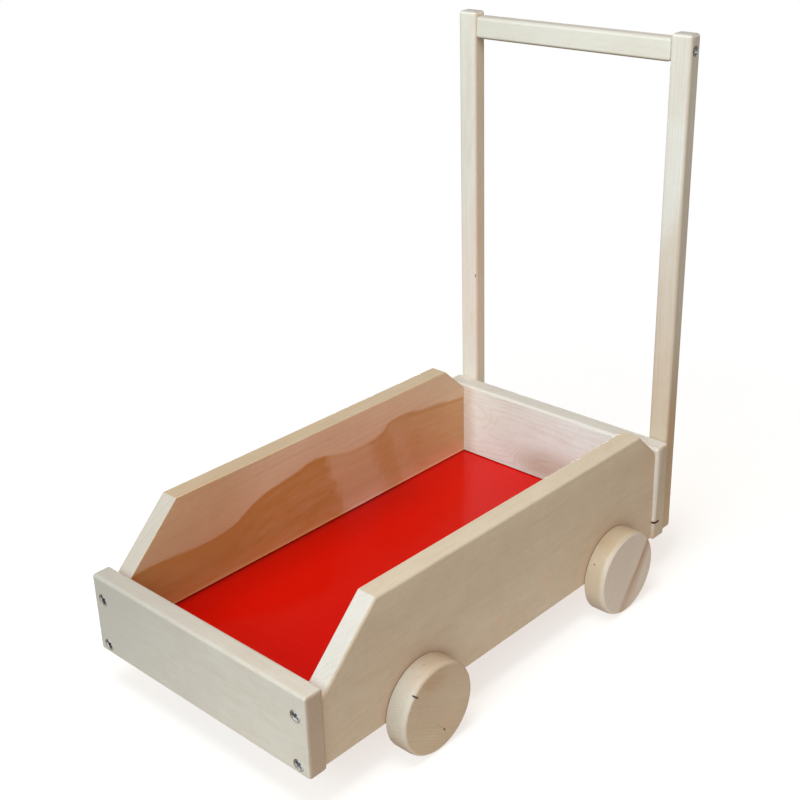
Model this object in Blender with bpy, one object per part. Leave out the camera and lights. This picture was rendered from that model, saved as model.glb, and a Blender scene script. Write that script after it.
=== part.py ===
"""Wooden push walker: an open box cart on four disc wheels with an upright push handle.

Lengths are in metres. X runs across the cart, Y from its front to its handle and Z up.
The origin lies on the ground, under the middle of the cart. Left and right are as seen
from the front, so the right-hand side is the one at positive X.
"""

import math

import bmesh
import bpy
from mathutils import Euler, Matrix, Vector

# Box of boards
SIDE_LENGTH = 0.430
SIDE_HEIGHT = 0.119
SIDE_THICKNESS = 0.018
BODY_WIDTH = 0.250
SLOPE_RUN = 0.059
SLOPE_FOOT_BELOW_FRONT = 0.0125
FRONT_HEIGHT = 0.0735
FRONT_THICKNESS = 0.018
REAR_HEIGHT = 0.0965
REAR_THICKNESS = 0.018
REAR_CHAMFER_RUN = 0.0275
CHAMFER_FOOT_BELOW_REAR = 0.003
PANEL_OVERHANG = 0.003
SIDE_EDGE_RADIUS = 0.002
PANEL_EDGE_RADIUS = 0.003

# Floor board and the grooves that hold it
FLOOR_TOP = 0.020
FLOOR_THICKNESS = 0.004
GROOVE_DEPTH = 0.008

# Push handle
HANDLE_HEIGHT = 0.504
POST_WIDTH = 0.020
POST_DEPTH = 0.015
POST_FOOT_RISE = 0.001
BAR_HEIGHT = 0.020
BAR_DEPTH = 0.015
BAR_DROP = 0.004
HANDLE_EDGE_RADIUS = 0.003

# Wheels, axles and what carries them
WHEEL_DIAMETER = 0.080
WHEEL_THICKNESS = 0.018
WHEEL_EDGE_RADIUS = 0.003
WHEEL_SOCKET_DEPTH = 0.012
AXLE_DIAMETER = 0.012
AXLE_END_CHAMFER = 0.001
AXLE_RISE = 0.002
FRONT_AXLE_SETBACK = 0.104
REAR_AXLE_SETBACK = 0.067
WASHER_RIM = 0.006
WASHER_THICKNESS = 0.0015
BLOCK_LENGTH = 0.040
BLOCK_DEPTH = 0.044
BLOCK_WALL = 0.006
BLOCK_CHAMFER = 0.0015

# Countersunk wood screws
PANEL_SCREW_DIAMETER = 0.005
PANEL_SCREW_HEAD = 0.010
PANEL_SCREW_RECESS = 0.006
FRONT_SCREW_LENGTH = 0.050
REAR_SCREW_LENGTH = 0.060
SMALL_SCREW_DIAMETER = 0.004
SMALL_SCREW_HEAD = 0.008
SMALL_SCREW_RECESS = 0.0048
BAR_SCREW_LENGTH = 0.050
BLOCK_SCREW_LENGTH = 0.050
FRONT_SCREW_INSET = 0.0085
REAR_SCREW_INSET = 0.026
HEAD_RIM = 0.0006
HEAD_SINK = 0.0004
RECESS_DEPTH = 0.0022
RECESS_SLOT = 0.0013

# Clearances
FIT_GAP = 0.0003
RUNNING_CLEARANCE = 0.0004
NOTCH_CLEARANCE = 0.001
COUNTERSINK_CLEARANCE = 0.0005
CUT_PAST = 0.005

# Steps that round shapes are divided into
WHEEL_STEPS = 48
AXLE_STEPS = 24
SCREW_STEPS = 12
EDGE_STEPS = 3

# Places worked out from the sizes above; Z of the boards counts from the ground
BODY_BOTTOM = WHEEL_DIAMETER / 2 - AXLE_RISE
AXLE_Z = WHEEL_DIAMETER / 2
BODY_LENGTH = FRONT_THICKNESS + SIDE_LENGTH + REAR_THICKNESS + POST_DEPTH + 3 * FIT_GAP
FRONT_FACE_Y = -BODY_LENGTH / 2
SIDE_FRONT_Y = FRONT_FACE_Y + FRONT_THICKNESS + FIT_GAP
SIDE_REAR_Y = SIDE_FRONT_Y + SIDE_LENGTH
REAR_FRONT_Y = SIDE_REAR_Y + FIT_GAP
REAR_BACK_Y = REAR_FRONT_Y + REAR_THICKNESS
POST_FRONT_Y = REAR_BACK_Y + FIT_GAP
POST_BACK_Y = POST_FRONT_Y + POST_DEPTH
SIDE_OUTER_X = BODY_WIDTH / 2
SIDE_INNER_X = SIDE_OUTER_X - SIDE_THICKNESS
SIDE_MIDDLE_X = SIDE_OUTER_X - SIDE_THICKNESS / 2
PANEL_END_X = SIDE_OUTER_X + PANEL_OVERHANG
POST_INNER_X = SIDE_OUTER_X - POST_WIDTH
SLOPE_FOOT = FRONT_HEIGHT - SLOPE_FOOT_BELOW_FRONT
CHAMFER_FOOT = REAR_HEIGHT - CHAMFER_FOOT_BELOW_REAR
FLOOR_UNDERSIDE = FLOOR_TOP - FLOOR_THICKNESS
BAR_TOP_Z = HANDLE_HEIGHT - BAR_DROP
BAR_MIDDLE_Z = BAR_TOP_Z - BAR_HEIGHT / 2
POST_BOTTOM_Z = BODY_BOTTOM + POST_FOOT_RISE
AXLE_RADIUS = AXLE_DIAMETER / 2
BORE_RADIUS = AXLE_RADIUS + RUNNING_CLEARANCE
WHEEL_INNER_X = SIDE_OUTER_X + WASHER_THICKNESS + 2 * FIT_GAP
BLOCK_OUTER_X = SIDE_INNER_X - FIT_GAP
BLOCK_INNER_X = BLOCK_OUTER_X - BLOCK_LENGTH
BLOCK_TOP_Z = BODY_BOTTOM + FLOOR_UNDERSIDE - FIT_GAP
BLOCK_BOTTOM_Z = AXLE_Z - BORE_RADIUS - BLOCK_WALL
BLOCK_SCREW_Z = BODY_BOTTOM + FLOOR_UNDERSIDE / 2
BLOCK_SCREW_OFFSET = (BORE_RADIUS + BLOCK_DEPTH / 2) / 2
AXLES = {
    "front": SIDE_FRONT_Y + FRONT_AXLE_SETBACK,
    "rear": SIDE_REAR_Y - REAR_AXLE_SETBACK,
}
SIDES = {"left": -1, "right": 1}

# Turns that point a screw, whose tip is at its own -Z, or a wheel, whose face is at its own +Z
SCREW_TO_BACK = (math.radians(90), 0, 0)
SCREW_TO_FRONT = (math.radians(-90), 0, 0)
FACE_TO_RIGHT = (0, math.radians(90), 0)
FACE_TO_LEFT = (0, math.radians(-90), 0)


def clear_scene():
    """Start from an empty scene."""
    for thing in list(bpy.data.objects):
        bpy.data.objects.remove(thing, do_unlink=True)


def finish(name, colour, roughness, metallic=0.0):
    """Plain surface of one colour."""
    material = bpy.data.materials.new(name)
    material.use_nodes = True
    shader = material.node_tree.nodes["Principled BSDF"]
    shader.inputs["Base Color"].default_value = (*colour, 1.0)
    shader.inputs["Roughness"].default_value = roughness
    shader.inputs["Metallic"].default_value = metallic
    return material


def make_object(name, mesh, material, location=(0, 0, 0), rotation=(0, 0, 0), parent=None):
    """Place a mesh in the scene as a named piece."""
    piece = bpy.data.objects.new(name, mesh)
    bpy.context.scene.collection.objects.link(piece)
    if material and not mesh.materials:
        mesh.materials.append(material)
    piece.rotation_euler = rotation
    piece.parent = parent
    piece.location = Vector(location) - (parent.location if parent else Vector())
    return piece


def to_mesh(name, bm, smooth=False):
    """Turn a working mesh into mesh data with its faces pointing out."""
    bmesh.ops.recalc_face_normals(bm, faces=bm.faces)
    mesh = bpy.data.meshes.new(name)
    bm.to_mesh(mesh)
    bm.free()
    if smooth:
        mesh.shade_smooth()
        mesh.set_sharp_from_angle(angle=math.radians(35))
    return mesh


def box_mesh(size):
    """Working mesh of a box about its own middle."""
    bm = bmesh.new()
    bmesh.ops.create_cube(bm, size=1.0, matrix=Matrix.Diagonal((*size, 1.0)))
    return bm


def round_edges(bm, edges, radius, steps=EDGE_STEPS):
    """Round the given edges."""
    bmesh.ops.bevel(
        bm,
        geom=list(edges),
        offset=radius,
        offset_type="OFFSET",
        segments=steps,
        profile=0.5,
        affect="EDGES",
        clamp_overlap=True,
    )


def lathe_mesh(profile, steps, flats_on_circle=False, closed=False):
    """Working mesh turned about Z from (radius, height) points.

    The flat of a step faces local +X. With flats_on_circle the flats touch the true circle,
    as a bore or a wheel needs, and otherwise the corners lie on it.
    """
    bm = bmesh.new()
    half_step = math.pi / steps
    stretch = 1 / math.cos(half_step) if flats_on_circle else 1.0
    points = [
        bm.verts.new((
            radius * stretch * math.cos(half_step),
            radius * stretch * math.sin(half_step),
            height,
        ))
        for radius, height in profile
    ]
    followers = points[1:] + points[:1] if closed else points[1:]
    edges = [bm.edges.new(pair) for pair in zip(points, followers)]
    bmesh.ops.spin(
        bm,
        geom=points + edges,
        cent=(0, 0, 0),
        axis=(0, 0, 1),
        angle=math.tau,
        steps=steps,
        use_merge=True,
    )
    bmesh.ops.remove_doubles(bm, verts=bm.verts, dist=FIT_GAP / 100)
    return bm


def arc(centre, radius, start, end, steps=EDGE_STEPS):
    """Points of a round stretch, with angles in degrees."""
    angles = [math.radians(start + (end - start) * i / steps) for i in range(steps + 1)]
    return [(centre[0] + radius * math.cos(a), centre[1] + radius * math.sin(a)) for a in angles]


def cutter(name, bm, location, rotation=(0, 0, 0)):
    """Shape that only takes material away from other pieces."""
    shape = make_object(name, to_mesh(name, bm), None, location, rotation)
    shape.hide_render = True
    shape.display_type = "WIRE"
    return shape


def cut(piece, *shapes):
    """Take the shapes away from a piece."""
    for shape in shapes:
        modifier = piece.modifiers.new(shape.name, "BOOLEAN")
        modifier.operation = "DIFFERENCE"
        modifier.solver = "EXACT"
        modifier.object = shape


def box_between(low, high):
    """Size and middle of the box between two corners."""
    low, high = Vector(low), Vector(high)
    return high - low, (low + high) / 2


def rounded_board(name, low, high, radius, material):
    """Board between two corners with all its edges rounded."""
    size, middle = box_between(low, high)
    bm = box_mesh(size)
    round_edges(bm, bm.edges, radius)
    return make_object(name, to_mesh(name, bm), material, middle)


def box_cutter(name, low, high):
    """Box-shaped cutter between two corners."""
    size, middle = box_between(low, high)
    return cutter(name, box_mesh(size), middle)


def screw_profile(diameter, head, length, around_shank=0.0, around_head=0.0, above=0.0):
    """Outline of a countersunk screw from its head down to its tip, or of the hole round it."""
    shank = diameter / 2 + around_shank
    rim = head / 2 + around_head
    cone_end = -HEAD_RIM - (rim - shank)
    point = -length - around_shank
    return [
        (0, above),
        (rim, above),
        (rim, -HEAD_RIM),
        (shank, cone_end),
        (shank, point + 2 * shank),
        (0, point),
    ]


def screw_mesh(name, diameter, head, length, recess):
    """Screw with a cross-shaped recess in its head."""
    blank_bm = lathe_mesh(screw_profile(diameter, head, length), SCREW_STEPS)
    blank = make_object(name, to_mesh(name, blank_bm), None)
    slots = [
        cutter("slot", box_mesh(size), (0, 0, 0))
        for size in (
            (recess, RECESS_SLOT, 2 * RECESS_DEPTH),
            (RECESS_SLOT, recess, 2 * RECESS_DEPTH),
        )
    ]
    cut(blank, *slots)
    shaped = blank.evaluated_get(bpy.context.evaluated_depsgraph_get())
    mesh = bpy.data.meshes.new_from_object(shaped)
    mesh.name = name
    for spare in (blank, *slots):
        bpy.data.objects.remove(spare, do_unlink=True)
    return mesh


class ScrewKind:
    """One size of screw, with the material that all its copies share."""

    def __init__(self, name, diameter, head, length, recess, material):
        self.sizes = (diameter, head, length)
        self.mesh = screw_mesh(name, *self.sizes, recess)
        self.material = material

    def drive(self, name, location, rotation, *pieces):
        """Put a screw through the pieces, its head just below the face at the location."""
        inward = Euler(rotation).to_matrix() @ Vector((0, 0, -1))
        seat = Vector(location) + inward * HEAD_SINK
        make_object(name, self.mesh, self.material, seat, rotation)
        profile = screw_profile(*self.sizes, FIT_GAP, COUNTERSINK_CLEARANCE, CUT_PAST)
        hole = cutter(name + "_hole", lathe_mesh(profile, SCREW_STEPS, True), seat, rotation)
        for piece in pieces:
            cut(piece, hole)


def make_side_panel(side, sign, material):
    """Side board with a sloping front corner and a chamfered rear corner."""
    outline = [
        (SIDE_FRONT_Y, 0),
        (SIDE_REAR_Y, 0),
        (SIDE_REAR_Y, CHAMFER_FOOT),
        (SIDE_REAR_Y - REAR_CHAMFER_RUN, SIDE_HEIGHT),
        (SIDE_FRONT_Y + SLOPE_RUN, SIDE_HEIGHT),
        (SIDE_FRONT_Y, SLOPE_FOOT),
    ]
    bm = bmesh.new()
    face = bm.faces.new([bm.verts.new((-SIDE_THICKNESS / 2, y, z)) for y, z in outline])
    grown = bmesh.ops.extrude_face_region(bm, geom=[face])
    far_corners = [item for item in grown["geom"] if isinstance(item, bmesh.types.BMVert)]
    bmesh.ops.translate(bm, verts=far_corners, vec=(SIDE_THICKNESS, 0, 0))

    def on_outline(edge):
        """True for the edges of the two wide faces, apart from the board's two ends."""
        first, second = edge.verts
        across = first.co.x != second.co.x
        upright_end = first.co.y == second.co.y
        return not across and not upright_end

    round_edges(bm, [edge for edge in bm.edges if on_outline(edge)], SIDE_EDGE_RADIUS)
    name = f"side_panel_{side}"
    location = (sign * SIDE_MIDDLE_X, 0, BODY_BOTTOM)
    panel = make_object(name, to_mesh(name, bm), material, location)
    return panel


def make_panels(wood):
    """The four upright boards of the box, by name."""
    panels = {side: make_side_panel(side, sign, wood) for side, sign in SIDES.items()}
    panels["front"] = rounded_board(
        "front_panel",
        (-PANEL_END_X, FRONT_FACE_Y, BODY_BOTTOM),
        (PANEL_END_X, FRONT_FACE_Y + FRONT_THICKNESS, BODY_BOTTOM + FRONT_HEIGHT),
        PANEL_EDGE_RADIUS,
        wood,
    )
    panels["rear"] = rounded_board(
        "rear_panel",
        (-PANEL_END_X, REAR_FRONT_Y, BODY_BOTTOM),
        (PANEL_END_X, REAR_BACK_Y, BODY_BOTTOM + REAR_HEIGHT),
        PANEL_EDGE_RADIUS,
        wood,
    )
    return panels


def make_floor(panels, red):
    """Thin floor board, let into a groove in each of the four panels.

    The rear panel's groove runs out at both its ends and the front panel's stops at the sides.
    """
    reach = GROOVE_DEPTH - FIT_GAP
    low_z = BODY_BOTTOM + FLOOR_UNDERSIDE
    high_z = BODY_BOTTOM + FLOOR_TOP
    front_y = FRONT_FACE_Y + FRONT_THICKNESS
    edge_x = SIDE_INNER_X + reach
    size, middle = box_between(
        (-edge_x, front_y - reach, low_z), (edge_x, REAR_FRONT_Y + reach, high_z))
    make_object("floor_panel", to_mesh("floor_panel", box_mesh(size)), red, middle)

    low_cut = low_z - FIT_GAP
    high_cut = high_z + FIT_GAP
    for side, sign in SIDES.items():
        near, far = sorted((sign * (SIDE_INNER_X - CUT_PAST), sign * (SIDE_INNER_X + GROOVE_DEPTH)))
        groove = box_cutter(
            f"groove_{side}",
            (near, SIDE_FRONT_Y - CUT_PAST, low_cut),
            (far, SIDE_REAR_Y + CUT_PAST, high_cut),
        )
        cut(panels[side], groove)
    groove_half = edge_x + FIT_GAP
    cut(panels["front"], box_cutter(
        "groove_front",
        (-groove_half, front_y - GROOVE_DEPTH, low_cut),
        (groove_half, front_y + CUT_PAST, high_cut),
    ))
    through = PANEL_END_X + CUT_PAST
    cut(panels["rear"], box_cutter(
        "groove_rear",
        (-through, REAR_FRONT_Y - CUT_PAST, low_cut),
        (through, REAR_FRONT_Y + GROOVE_DEPTH, high_cut),
    ))


def make_handle(wood):
    """Two posts and the bar between them, by name."""
    handle = {}
    for side, sign in SIDES.items():
        near, far = sorted((sign * POST_INNER_X, sign * SIDE_OUTER_X))
        handle[side] = rounded_board(
            f"handle_post_{side}",
            (near, POST_FRONT_Y, POST_BOTTOM_Z),
            (far, POST_BACK_Y, HANDLE_HEIGHT),
            HANDLE_EDGE_RADIUS,
            wood,
        )
    bar_end_x = POST_INNER_X - FIT_GAP
    handle["bar"] = rounded_board(
        "handle_crossbar",
        (-bar_end_x, POST_FRONT_Y, BAR_TOP_Z - BAR_HEIGHT),
        (bar_end_x, POST_FRONT_Y + BAR_DEPTH, BAR_TOP_Z),
        HANDLE_EDGE_RADIUS,
        wood,
    )
    return handle


def wheel_mesh():
    """Disc with rounded edges and a blind socket for the axle, its inner face at Z = 0."""
    radius = WHEEL_DIAMETER / 2
    socket = AXLE_RADIUS + FIT_GAP
    edge = WHEEL_EDGE_RADIUS
    profile = [(0, WHEEL_SOCKET_DEPTH), (socket, WHEEL_SOCKET_DEPTH), (socket, 0)]
    profile += arc((radius - edge, edge), edge, -90, 0)
    profile += arc((radius - edge, WHEEL_THICKNESS - edge), edge, 0, 90)
    profile += [(0, WHEEL_THICKNESS)]
    return to_mesh("wheel", lathe_mesh(profile, WHEEL_STEPS, True), smooth=True)


def axle_mesh():
    """Round wooden rod with chamfered ends, long enough to fill both wheels' sockets."""
    half = WHEEL_INNER_X + WHEEL_SOCKET_DEPTH - FIT_GAP
    shoulder = half - AXLE_END_CHAMFER
    tip = AXLE_RADIUS - AXLE_END_CHAMFER
    profile = [
        (0, -half), (tip, -half), (AXLE_RADIUS, -shoulder),
        (AXLE_RADIUS, shoulder), (tip, half), (0, half),
    ]
    return to_mesh("axle", lathe_mesh(profile, AXLE_STEPS), smooth=True)


def washer_mesh():
    """Flat ring round the axle."""
    inner = BORE_RADIUS
    outer = BORE_RADIUS + WASHER_RIM
    profile = [
        (inner, 0), (outer, 0), (outer, WASHER_THICKNESS), (inner, WASHER_THICKNESS),
    ]
    return to_mesh("washer", lathe_mesh(profile, AXLE_STEPS, True, closed=True), smooth=True)


def make_wheel_sets(wheel_wood, axle_wood):
    """Each axle with its two wheels, carried by an empty on the line it turns about."""
    wheel = wheel_mesh()
    axle = axle_mesh()
    for end, axle_y in AXLES.items():
        centre = bpy.data.objects.new(f"{end}_wheel_set", None)
        bpy.context.scene.collection.objects.link(centre)
        centre.location = (0, axle_y, AXLE_Z)
        make_object(f"{end}_axle", axle, axle_wood, centre.location, FACE_TO_RIGHT, centre)
        for side, sign in SIDES.items():
            turn = FACE_TO_RIGHT if sign > 0 else FACE_TO_LEFT
            seat = (sign * WHEEL_INNER_X, axle_y, AXLE_Z)
            make_object(f"wheel_{end}_{side}", wheel, wheel_wood, seat, turn, centre)


def axle_bore(name, axle_y, radius, reach):
    """Cutter for a round hole across the cart on an axle's line."""
    bm = lathe_mesh([(0, -reach), (radius, -reach), (radius, reach), (0, reach)], AXLE_STEPS, True)
    return cutter(name, bm, (0, axle_y, AXLE_Z), FACE_TO_RIGHT)


def make_axle_block(name, sign, axle_y, bore, wood):
    """Wooden bearing block under the floor, against a side panel."""
    near, far = sorted((sign * BLOCK_INNER_X, sign * BLOCK_OUTER_X))
    size, middle = box_between(
        (near, axle_y - BLOCK_DEPTH / 2, BLOCK_BOTTOM_Z),
        (far, axle_y + BLOCK_DEPTH / 2, BLOCK_TOP_Z),
    )
    bm = box_mesh(size)
    round_edges(bm, bm.edges, BLOCK_CHAMFER, steps=1)
    block = make_object(name, to_mesh(name, bm), wood, middle)
    cut(block, bore)
    return block


def make_running_gear(panels, wood, steel):
    """Bearing blocks with their screws, the notches for the axles and the washers."""
    washer = washer_mesh()
    sizes = (SMALL_SCREW_DIAMETER, SMALL_SCREW_HEAD)
    screws = ScrewKind("block_screw", *sizes, BLOCK_SCREW_LENGTH, SMALL_SCREW_RECESS, steel)
    for end, axle_y in AXLES.items():
        bore = axle_bore(f"{end}_bore", axle_y, BORE_RADIUS, SIDE_OUTER_X)
        notch_radius = AXLE_RADIUS + NOTCH_CLEARANCE
        notch = axle_bore(f"{end}_notch", axle_y, notch_radius, SIDE_OUTER_X + CUT_PAST)
        for side, sign in SIDES.items():
            cut(panels[side], notch)
            block = make_axle_block(f"axle_block_{end}_{side}", sign, axle_y, bore, wood)
            turn = FACE_TO_LEFT if sign > 0 else FACE_TO_RIGHT
            for number, step in enumerate((-1, 1), 1):
                head = (sign * BLOCK_INNER_X, axle_y + step * BLOCK_SCREW_OFFSET, BLOCK_SCREW_Z)
                screws.drive(f"block_screw_{end}_{side}_{number}", head, turn, block, panels[side])
            outward = FACE_TO_RIGHT if sign > 0 else FACE_TO_LEFT
            seat = (sign * (SIDE_OUTER_X + FIT_GAP), axle_y, AXLE_Z)
            make_object(f"washer_{end}_{side}", washer, steel, seat, outward)


def drive_panel_screws(panels, handle, steel):
    """Screws through the front panel, and through the posts and rear panel, into the sides."""
    sizes = (PANEL_SCREW_DIAMETER, PANEL_SCREW_HEAD)
    front = ScrewKind("front_screw", *sizes, FRONT_SCREW_LENGTH, PANEL_SCREW_RECESS, steel)
    rear = ScrewKind("post_screw", *sizes, REAR_SCREW_LENGTH, PANEL_SCREW_RECESS, steel)
    front_heights = {"lower": FRONT_SCREW_INSET, "upper": SLOPE_FOOT - FRONT_SCREW_INSET}
    rear_heights = {"lower": REAR_SCREW_INSET, "upper": CHAMFER_FOOT - REAR_SCREW_INSET}
    for side, sign in SIDES.items():
        x = sign * SIDE_MIDDLE_X
        for level, height in front_heights.items():
            place = (x, FRONT_FACE_Y, BODY_BOTTOM + height)
            front.drive(f"front_screw_{side}_{level}", place, SCREW_TO_BACK,
                        panels["front"], panels[side])
        for level, height in rear_heights.items():
            place = (x, POST_BACK_Y, BODY_BOTTOM + height)
            rear.drive(f"post_screw_{side}_{level}", place, SCREW_TO_FRONT,
                       handle[side], panels["rear"], panels[side])


def drive_bar_screws(handle, steel):
    """One screw through each post into the end of the bar."""
    sizes = (SMALL_SCREW_DIAMETER, SMALL_SCREW_HEAD)
    kind = ScrewKind("bar_screw", *sizes, BAR_SCREW_LENGTH, SMALL_SCREW_RECESS, steel)
    middle_y = POST_FRONT_Y + BAR_DEPTH / 2
    for side, sign in SIDES.items():
        turn = FACE_TO_RIGHT if sign > 0 else FACE_TO_LEFT
        place = (sign * SIDE_OUTER_X, middle_y, BAR_MIDDLE_Z)
        kind.drive(f"bar_screw_{side}", place, turn, handle[side], handle["bar"])


def main():
    """Build the walker."""
    clear_scene()
    panel_wood = finish("panel_maple", (0.74, 0.63, 0.47), 0.55)
    handle_wood = finish("handle_maple", (0.78, 0.70, 0.56), 0.5)
    wheel_wood = finish("wheel_beech", (0.62, 0.50, 0.36), 0.6)
    axle_wood = finish("axle_beech", (0.58, 0.42, 0.27), 0.6)
    block_wood = finish("block_beech", (0.60, 0.46, 0.31), 0.65)
    red = finish("floor_red", (0.60, 0.012, 0.006), 0.2)
    steel = finish("screw_zinc", (0.62, 0.62, 0.62), 0.3, 1.0)

    panels = make_panels(panel_wood)
    make_floor(panels, red)
    handle = make_handle(handle_wood)
    drive_panel_screws(panels, handle, steel)
    drive_bar_screws(handle, steel)
    make_running_gear(panels, block_wood, steel)
    make_wheel_sets(wheel_wood, axle_wood)


main()
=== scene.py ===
import math

import bmesh
import bpy
from mathutils import Matrix, Vector


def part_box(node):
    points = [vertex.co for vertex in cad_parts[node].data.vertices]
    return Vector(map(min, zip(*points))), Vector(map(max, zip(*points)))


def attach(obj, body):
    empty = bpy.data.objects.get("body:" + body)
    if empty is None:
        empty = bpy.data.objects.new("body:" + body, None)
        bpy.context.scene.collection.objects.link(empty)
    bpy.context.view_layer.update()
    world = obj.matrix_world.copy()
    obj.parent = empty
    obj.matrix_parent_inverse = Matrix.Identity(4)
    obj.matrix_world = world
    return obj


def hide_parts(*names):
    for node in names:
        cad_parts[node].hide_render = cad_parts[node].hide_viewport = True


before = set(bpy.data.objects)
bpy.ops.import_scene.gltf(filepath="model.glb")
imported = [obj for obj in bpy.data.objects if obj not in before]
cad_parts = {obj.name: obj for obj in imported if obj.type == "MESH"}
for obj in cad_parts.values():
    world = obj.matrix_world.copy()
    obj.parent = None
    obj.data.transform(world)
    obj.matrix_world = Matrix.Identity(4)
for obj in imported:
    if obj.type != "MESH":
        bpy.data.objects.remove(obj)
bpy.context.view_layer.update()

# Sizes that a node's box doesn't tell, in metres
FIT_GAP = 0.0003
CUT_PAST = 0.005
BORE_REACH = 0.125
NOTCH_REACH = 0.130
PANEL_EDGE = 0.003
REAR_CORNER = 0.0028
REAR_SLOT = 0.0024
SIDE_INNER_EDGE = 0.0006
SIDE_OUTER_EDGE = {"left": 0.0014, "right": 0.0031}
CORNER_EASE = 0.0006
HANDLE_EDGE = 0.003
WHEEL_EDGE = 0.003
WHEEL_CROWN = 0.006
WHEEL_BACK_EDGE = 0.0008
HUB_DEPTH = 0.0017
HUB_PLAY = 0.002
WASHER_RADIUS = 0.0124
WASHER_EASE = 0.0003
BLOCK_EDGE = 0.0015
FLOOR_EDGE = 0.0004
FLOOR_PLAY = 0.0011
SLOPE_RUN = 0.059
SLOPE_DROP = 0.0125
CHAMFER_RUN = 0.0275
CHAMFER_DROP = 0.003
SOCKET_DEPTH = 0.012
AXLE_CHAMFER = 0.001
BORE_CLEARANCE = 0.0004
NOTCH_CLEARANCE = 0.001
HEAD_RIM = 0.0006
HEAD_EASE = 0.00012
COUNTERSINK_CLEARANCE = 0.0005
RECESS_DEPTH = 0.0024
CHECK_LENGTH = 0.0057
CHECK_WIDTH = 0.0019
CHECK_DEPTH = 0.0023

# The crack's place on the wheel's rim, and the angle from which an edge is shaded as sharp
CHECK_ANGLE = math.radians(45.5)
SHARP_ANGLE = math.radians(40)

# Millimetres in a metre, since materials are laid out in millimetres
MM = 1000

# Steps that round shapes are divided into
EDGE_STEPS = 6
WHEEL_STEPS = 128
ROUND_STEPS = 48
THREAD_STEPS = 24
THREAD_ROWS = 6
BLOCK_STEPS = 3
FLOOR_STEPS = 2

SIDES = {"left": -1, "right": 1}
ENDS = ("front", "rear")
LEVELS = ("lower", "upper")

BOX = {node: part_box(node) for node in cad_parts}

# Screws: diameter, width of the head, length, and width of the driver recess
FRONT_SCREW = (0.005, 0.010, 0.050, 0.0076)
POST_SCREW = (0.005, 0.010, 0.060, 0.0076)
BAR_SCREW = (0.004, 0.008, 0.050, 0.0060)

# Turns of the recesses in degrees: as in the photo in front, and elsewhere in uneven steps
FRONT_ROLL = {
    ("left", "lower"): 320, ("left", "upper"): 311, ("right", "lower"): 322, ("right", "upper"): 336,
}
FIRST_ROLL, LEVEL_STEP, POST_STEP, BAR_STEP, BLOCK_STEP = 17, 37, 20, 50, 29

spare_shapes = []


def rotation(degrees, axis):
    return Matrix.Rotation(math.radians(degrees), 4, axis)


# Turns that bring a lathe's own axis, +Z, to a direction of the cart
FACING = {
    "right": rotation(90, "Y"), "left": rotation(-90, "Y"),
    "front": rotation(90, "X"), "back": rotation(-90, "X"),
}


def placed(seat, facing="right"):
    return Matrix.Translation(seat) @ FACING[facing]


def low(node):
    return BOX[node][0].copy()


def high(node):
    return BOX[node][1].copy()


def middle(node):
    return (low(node) + high(node)) / 2


def extent(node):
    return high(node) - low(node)


# Meshes

def to_mesh(name, bm):
    """Mesh data with its faces pointing out."""
    bmesh.ops.recalc_face_normals(bm, faces=bm.faces)
    mesh = bpy.data.meshes.new(name)
    bm.to_mesh(mesh)
    bm.free()
    return mesh


def put_in_scene(name, data):
    thing = bpy.data.objects.new(name, data)
    bpy.context.scene.collection.objects.link(thing)
    return thing


def bevel(bm, edges, radius, steps):
    bmesh.ops.bevel(
        bm, geom=list(edges), offset=radius, offset_type="OFFSET", segments=steps,
        profile=0.5, affect="EDGES", clamp_overlap=True)


def box(start, end):
    start, end = Vector(start), Vector(end)
    bm = bmesh.new()
    place = Matrix.Translation((start + end) / 2) @ Matrix.Diagonal((*(end - start), 1.0))
    bmesh.ops.create_cube(bm, size=1.0, matrix=place)
    return bm


def rounded_box(node, radius, steps=EDGE_STEPS, corner=None):
    """A node's box with rounded edges, of which the upright ones may have their own radius."""
    bm = box(*BOX[node])
    edges = bm.edges
    if corner and corner != radius:
        bevel(bm, [e for e in bm.edges if e.verts[0].co.z != e.verts[1].co.z], corner, steps)
        edges = [e for e in bm.edges if e.verts[0].co.z == e.verts[1].co.z]
    bevel(bm, edges, radius, steps)
    return bm


def onward(items, steps=1):
    """A closed list that starts so many items further on."""
    return items[steps:] + items[:steps]


def join(bm, rings):
    """Faces from each ring of corners to the next."""
    for ring, follower in zip(rings, rings[1:]):
        for corners in zip(ring, onward(ring), onward(follower), follower):
            bm.faces.new(tuple(dict.fromkeys(corners)))


def lathe(profile, steps, place=Matrix(), closed=False):
    """Turned shape from (radius, height) points; a radius may also be a function of the angle."""
    bm = bmesh.new()
    angles = [math.tau * i / steps for i in range(steps)]
    rings = []
    for radius, height in profile:
        if radius == 0:
            rings.append(steps * [bm.verts.new(place @ Vector((0, 0, height)))])
            continue
        reach = radius if callable(radius) else lambda angle, fixed=radius: fixed
        rings.append([
            bm.verts.new(place @ Vector((reach(a) * math.cos(a), reach(a) * math.sin(a), height)))
            for a in angles
        ])
    join(bm, rings + rings[:1] if closed else rings)
    return bm


def arc(centre, width, height, start, end, steps=EDGE_STEPS):
    """Points of an oval stretch of a profile, with angles in degrees."""
    angles = [math.radians(start + (end - start) * i / steps) for i in range(steps + 1)]
    return [(centre[0] + width * math.cos(a), centre[1] + height * math.sin(a)) for a in angles]


def cutter(bm):
    shape = put_in_scene("cutter", to_mesh("cutter", bm))
    spare_shapes.append(shape)
    return shape


def carve(piece, shapes):
    """Take the shapes away from a piece for good."""
    for shape in shapes:
        modifier = piece.modifiers.new("cut", "BOOLEAN")
        modifier.operation = "DIFFERENCE"
        modifier.solver = "EXACT"
        modifier.object = shape
    graph = bpy.context.evaluated_depsgraph_get()
    carved = bpy.data.meshes.new_from_object(piece.evaluated_get(graph))
    piece.modifiers.clear()
    piece.data = carved


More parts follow.
